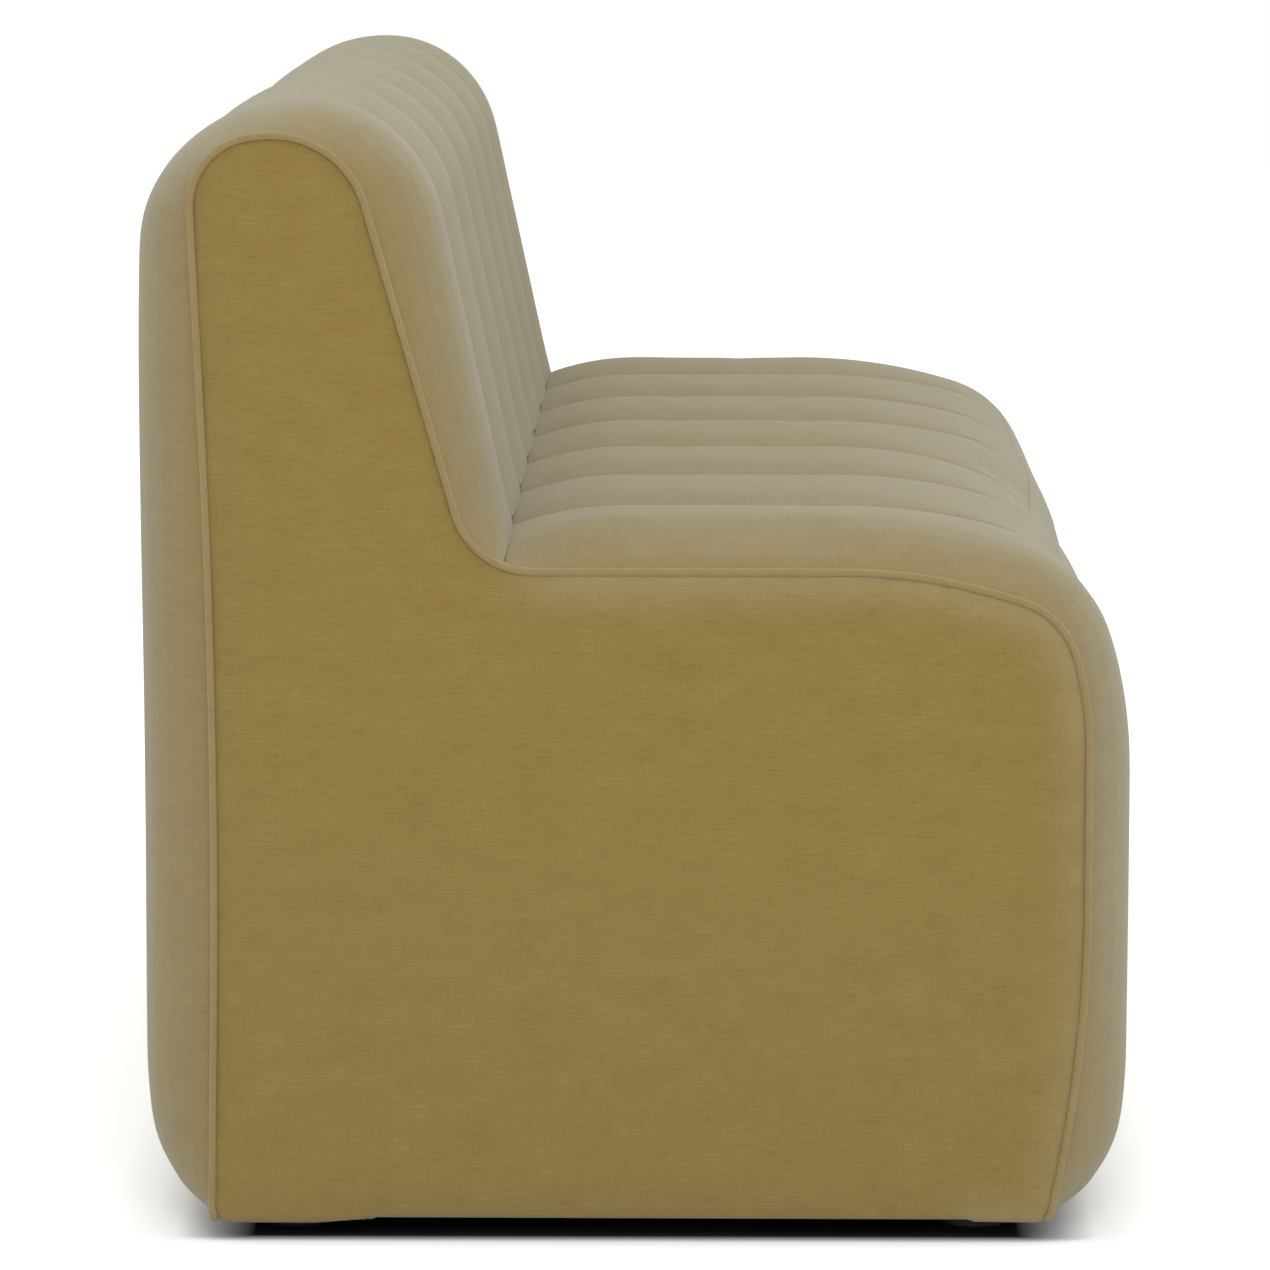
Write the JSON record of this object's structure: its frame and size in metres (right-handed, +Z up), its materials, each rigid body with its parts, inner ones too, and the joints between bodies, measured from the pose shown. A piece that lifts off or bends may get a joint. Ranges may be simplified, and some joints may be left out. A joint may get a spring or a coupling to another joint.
{
  "type": "upholstered dining bench",
  "caption": "Long upholstered dining bench with a channelled seat and low channelled back, piped flat ends and low black glides; seats people side by side at a table.",
  "frame": {"origin": "on the floor under the middle of the bench", "axes": "+X along the bench to the sitter's left, -Y out of the front of the seat, +Z up"},
  "size_m": [1.4, 0.694, 0.795],
  "materials": {
    "chenille_ochre": "woven ochre chenille with a soft sheen",
    "piping_ochre": "piping cord in the same ochre cloth",
    "pine": "planed softwood",
    "plywood": "sanded birch plywood",
    "hardboard": "brown hardboard",
    "foam": "open-cell polyurethane foam",
    "wadding": "white polyester wadding",
    "felt": "grey needle felt",
    "webbing": "woven elastic webbing",
    "spring_steel": "oiled spring steel",
    "zinc_steel": "zinc-plated steel",
    "dust_cloth": "black non-woven cloth",
    "glide_plastic": "black moulded plastic"
  },
  "bodies": {
    "root": {"seat_cover": "chenille_ochre", "front_cover": "chenille_ochre", "inside_back_cover": "chenille_ochre", "outside_back_cover": "chenille_ochre", "end_cover_left": "chenille_ochre", "end_cover_right": "chenille_ochre", "piping_left": "piping_ochre", "piping_right": "piping_ochre", "seat_foam": "foam", "front_foam": "foam", "inside_back_foam": "foam", "outside_back_foam": "foam", "end_pad_left": "wadding", "end_pad_right": "wadding", "spring_felt": "felt", "back_webbing": "webbing", "seat_springs": "spring_steel", "spring_clips_front": "zinc_steel", "spring_clips_rear": "zinc_steel", "rail_screws": "zinc_steel", "block_screws": "zinc_steel", "foot_screws": "zinc_steel", "dust_cover_staples": "zinc_steel", "dust_cover": "dust_cloth", "end_board_left": "plywood", "end_board_right": "plywood", "centre_rib": "plywood", "front_panel": "hardboard", "back_panel": "hardboard", "base_front_rail": "pine", "base_rear_rail": "pine", "seat_front_rail": "pine", "seat_rear_rail": "pine", "rear_mid_rail": "pine", "lumbar_rail": "pine", "crest_rail": "pine", "corner_block_front_left": "pine", "foot_front_left": "glide_plastic", "corner_block_front_right": "pine", "foot_front_right": "glide_plastic", "corner_block_rear_left": "pine", "foot_rear_left": "glide_plastic", "corner_block_rear_right": "pine", "foot_rear_right": "glide_plastic"}
  },
  "joints": []
}
